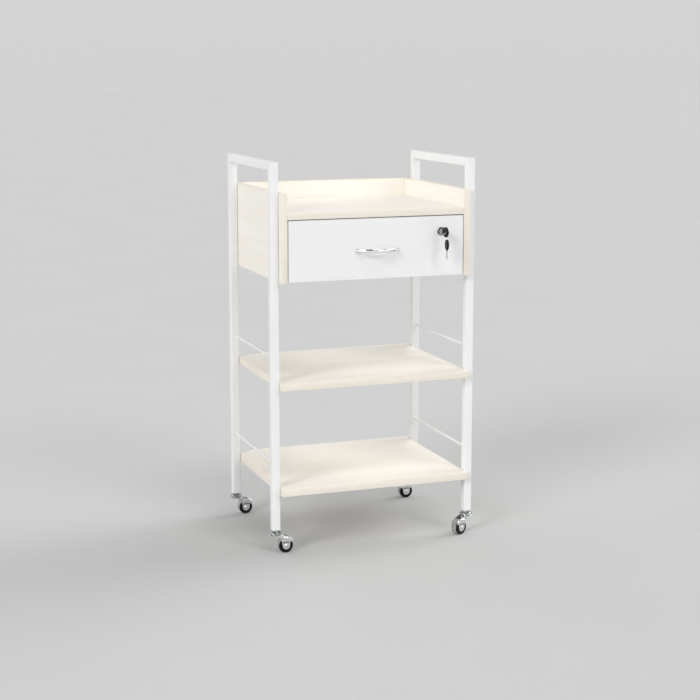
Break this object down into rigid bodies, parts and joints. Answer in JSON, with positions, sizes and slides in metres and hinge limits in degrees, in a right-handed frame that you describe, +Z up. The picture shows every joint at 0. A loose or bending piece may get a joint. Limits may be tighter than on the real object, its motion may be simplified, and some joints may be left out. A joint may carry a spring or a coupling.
{
  "type": "rolling salon trolley",
  "caption": "Tall rolling trolley: white square-tube side frames on swivel casters, open shelves, tray top and a lockable drawer.",
  "frame": {"origin": "on the floor, under the middle of the whole object's box, keys included", "axes": "+X to the right for a person facing the drawer, +Y to the back, +Z up"},
  "size_m": [0.531, 0.4548, 0.94],
  "materials": {
    "white_steel": "satin white powder coat",
    "maple_laminate": "satin pale maple laminate",
    "white_laminate": "satin plain white laminate",
    "drawer_board": "matt foil",
    "zinc_steel": "bright zinc plate",
    "key_steel": "nickel plate",
    "chrome": "polished",
    "wheel_rubber": "smooth grey",
    "black_plastic": "fine grain",
    "white_nylon": "smooth"
  },
  "bodies": {
    "chassis": {"left_front_post": "white_steel", "left_rear_post": "white_steel", "left_handle_bar": "white_steel", "left_upper_rail": "white_steel", "left_lower_rail": "white_steel", "right_front_post": "white_steel", "right_rear_post": "white_steel", "right_handle_bar": "white_steel", "right_upper_rail": "white_steel", "right_lower_rail": "white_steel", "upper_shelf": "maple_laminate", "lower_shelf": "maple_laminate", "cabinet_left_panel": "maple_laminate", "cabinet_right_panel": "maple_laminate", "cabinet_back_panel": "maple_laminate", "cabinet_top_board": "maple_laminate", "left_cabinet_runner": "zinc_steel", "right_cabinet_runner": "zinc_steel", "front_left_leg_insert": "black_plastic", "front_left_caster_stem": "zinc_steel", "rear_left_leg_insert": "black_plastic", "rear_left_caster_stem": "zinc_steel", "front_right_leg_insert": "black_plastic", "front_right_caster_stem": "zinc_steel", "rear_right_leg_insert": "black_plastic", "rear_right_caster_stem": "zinc_steel"},
    "drawer": {"drawer_front": "white_laminate", "drawer_left_side": "drawer_board", "drawer_right_side": "drawer_board", "drawer_back": "drawer_board", "drawer_bottom": "drawer_board", "drawer_handle": "chrome", "left_drawer_runner": "zinc_steel", "right_drawer_runner": "zinc_steel", "lock_housing": "chrome", "lock_nut": "zinc_steel"},
    "lock": {"lock_plug": "chrome", "lock_cam": "zinc_steel", "key_head": "black_plastic", "key_blade": "key_steel"},
    "key_ring": {"key_ring": "key_steel"},
    "spare_key": {"spare_key_head": "black_plastic", "spare_key_blade": "key_steel"},
    "left_cabinet_roller": {"left_cabinet_roller": "white_nylon"},
    "left_drawer_roller": {"left_drawer_roller": "white_nylon"},
    "right_cabinet_roller": {"right_cabinet_roller": "white_nylon"},
    "right_drawer_roller": {"right_drawer_roller": "white_nylon"},
    "front_left_caster": {"front_left_caster_fork": "zinc_steel", "front_left_caster_axle": "zinc_steel"},
    "front_left_wheel": {"front_left_caster_wheel": "wheel_rubber"},
    "rear_left_caster": {"rear_left_caster_fork": "zinc_steel", "rear_left_caster_axle": "zinc_steel"},
    "rear_left_wheel": {"rear_left_caster_wheel": "wheel_rubber"},
    "front_right_caster": {"front_right_caster_fork": "zinc_steel", "front_right_caster_axle": "zinc_steel"},
    "front_right_wheel": {"front_right_caster_wheel": "wheel_rubber"},
    "rear_right_caster": {"rear_right_caster_fork": "zinc_steel", "rear_right_caster_axle": "zinc_steel"},
    "rear_right_wheel": {"rear_right_caster_wheel": "wheel_rubber"}
  },
  "joints": [
    {"name": "drawer_slide", "type": "slide", "parent": "chassis", "child": "drawer", "axis": [0, -1, 0], "range_m": [0, 0.26]},
    {"name": "left_cabinet_roller_spin", "type": "hinge", "parent": "chassis", "child": "left_cabinet_roller", "pos_m": [-0.21775, -0.14458, 0.6995], "axis": [1, 0, 0], "range_deg": [0, 1863]},
    {"name": "left_drawer_roller_spin", "type": "hinge", "parent": "drawer", "child": "left_drawer_roller", "pos_m": [-0.21775, 0.17172, 0.6995], "axis": [1, 0, 0], "range_deg": [0, 1863]},
    {"name": "right_cabinet_roller_spin", "type": "hinge", "parent": "chassis", "child": "right_cabinet_roller", "pos_m": [0.21775, -0.14458, 0.6995], "axis": [1, 0, 0], "range_deg": [0, 1863]},
    {"name": "right_drawer_roller_spin", "type": "hinge", "parent": "drawer", "child": "right_drawer_roller", "pos_m": [0.21775, 0.17172, 0.6995], "axis": [1, 0, 0], "range_deg": [0, 1863]},
    {"name": "lock_turn", "type": "hinge", "parent": "drawer", "child": "lock", "pos_m": [0.1637, -0.17858, 0.767], "axis": [0, 1, 0], "range_deg": [0, 90]},
    {"name": "key_ring_swing", "type": "hinge", "parent": "lock", "child": "key_ring", "pos_m": [0.1637, -0.21458, 0.767], "axis": [1, 0, 0], "range_deg": [-60, 25]},
    {"name": "spare_key_slide_round_ring", "type": "hinge", "parent": "key_ring", "child": "spare_key", "pos_m": [0.1637, -0.21458, 0.756], "axis": [0, 1, 0], "range_deg": [-95, 5]},
    {"name": "front_left_caster_swivel", "type": "hinge", "parent": "chassis", "child": "front_left_caster", "pos_m": [-0.25, -0.15058, 0.047], "axis": [0, 0, 1], "continuous": true},
    {"name": "front_left_wheel_spin", "type": "hinge", "parent": "front_left_caster", "child": "front_left_wheel", "pos_m": [-0.226, -0.15058, 0.018], "axis": [0, 1, 0], "continuous": true},
    {"name": "rear_left_caster_swivel", "type": "hinge", "parent": "chassis", "child": "rear_left_caster", "pos_m": [-0.25, 0.19942, 0.047], "axis": [0, 0, 1], "continuous": true},
    {"name": "rear_left_wheel_spin", "type": "hinge", "parent": "rear_left_caster", "child": "rear_left_wheel", "pos_m": [-0.22606, 0.2011, 0.018], "axis": [-0.0698, 0.9976, 0], "continuous": true},
    {"name": "front_right_caster_swivel", "type": "hinge", "parent": "chassis", "child": "front_right_caster", "pos_m": [0.25, -0.15058, 0.047], "axis": [0, 0, 1], "continuous": true},
    {"name": "front_right_wheel_spin", "type": "hinge", "parent": "front_right_caster", "child": "front_right_wheel", "pos_m": [0.22775, -0.15957, 0.018], "axis": [0.3746, -0.9272, 0], "continuous": true},
    {"name": "rear_right_caster_swivel", "type": "hinge", "parent": "chassis", "child": "rear_right_caster", "pos_m": [0.25, 0.19942, 0.047], "axis": [0, 0, 1], "continuous": true},
    {"name": "rear_right_wheel_spin", "type": "hinge", "parent": "rear_right_caster", "child": "rear_right_wheel", "pos_m": [0.226, 0.19942, 0.018], "axis": [0, -1, 0], "continuous": true}
  ],
  "couplings": [
    {"joint": "left_cabinet_roller_spin", "follows": "drawer_slide", "rad_per_m": 125},
    {"joint": "left_drawer_roller_spin", "follows": "drawer_slide", "rad_per_m": 125},
    {"joint": "right_cabinet_roller_spin", "follows": "drawer_slide", "rad_per_m": 125},
    {"joint": "right_drawer_roller_spin", "follows": "drawer_slide", "rad_per_m": 125},
    {"joint": "spare_key_slide_round_ring", "follows": "lock_turn", "ratio": -1}
  ]
}
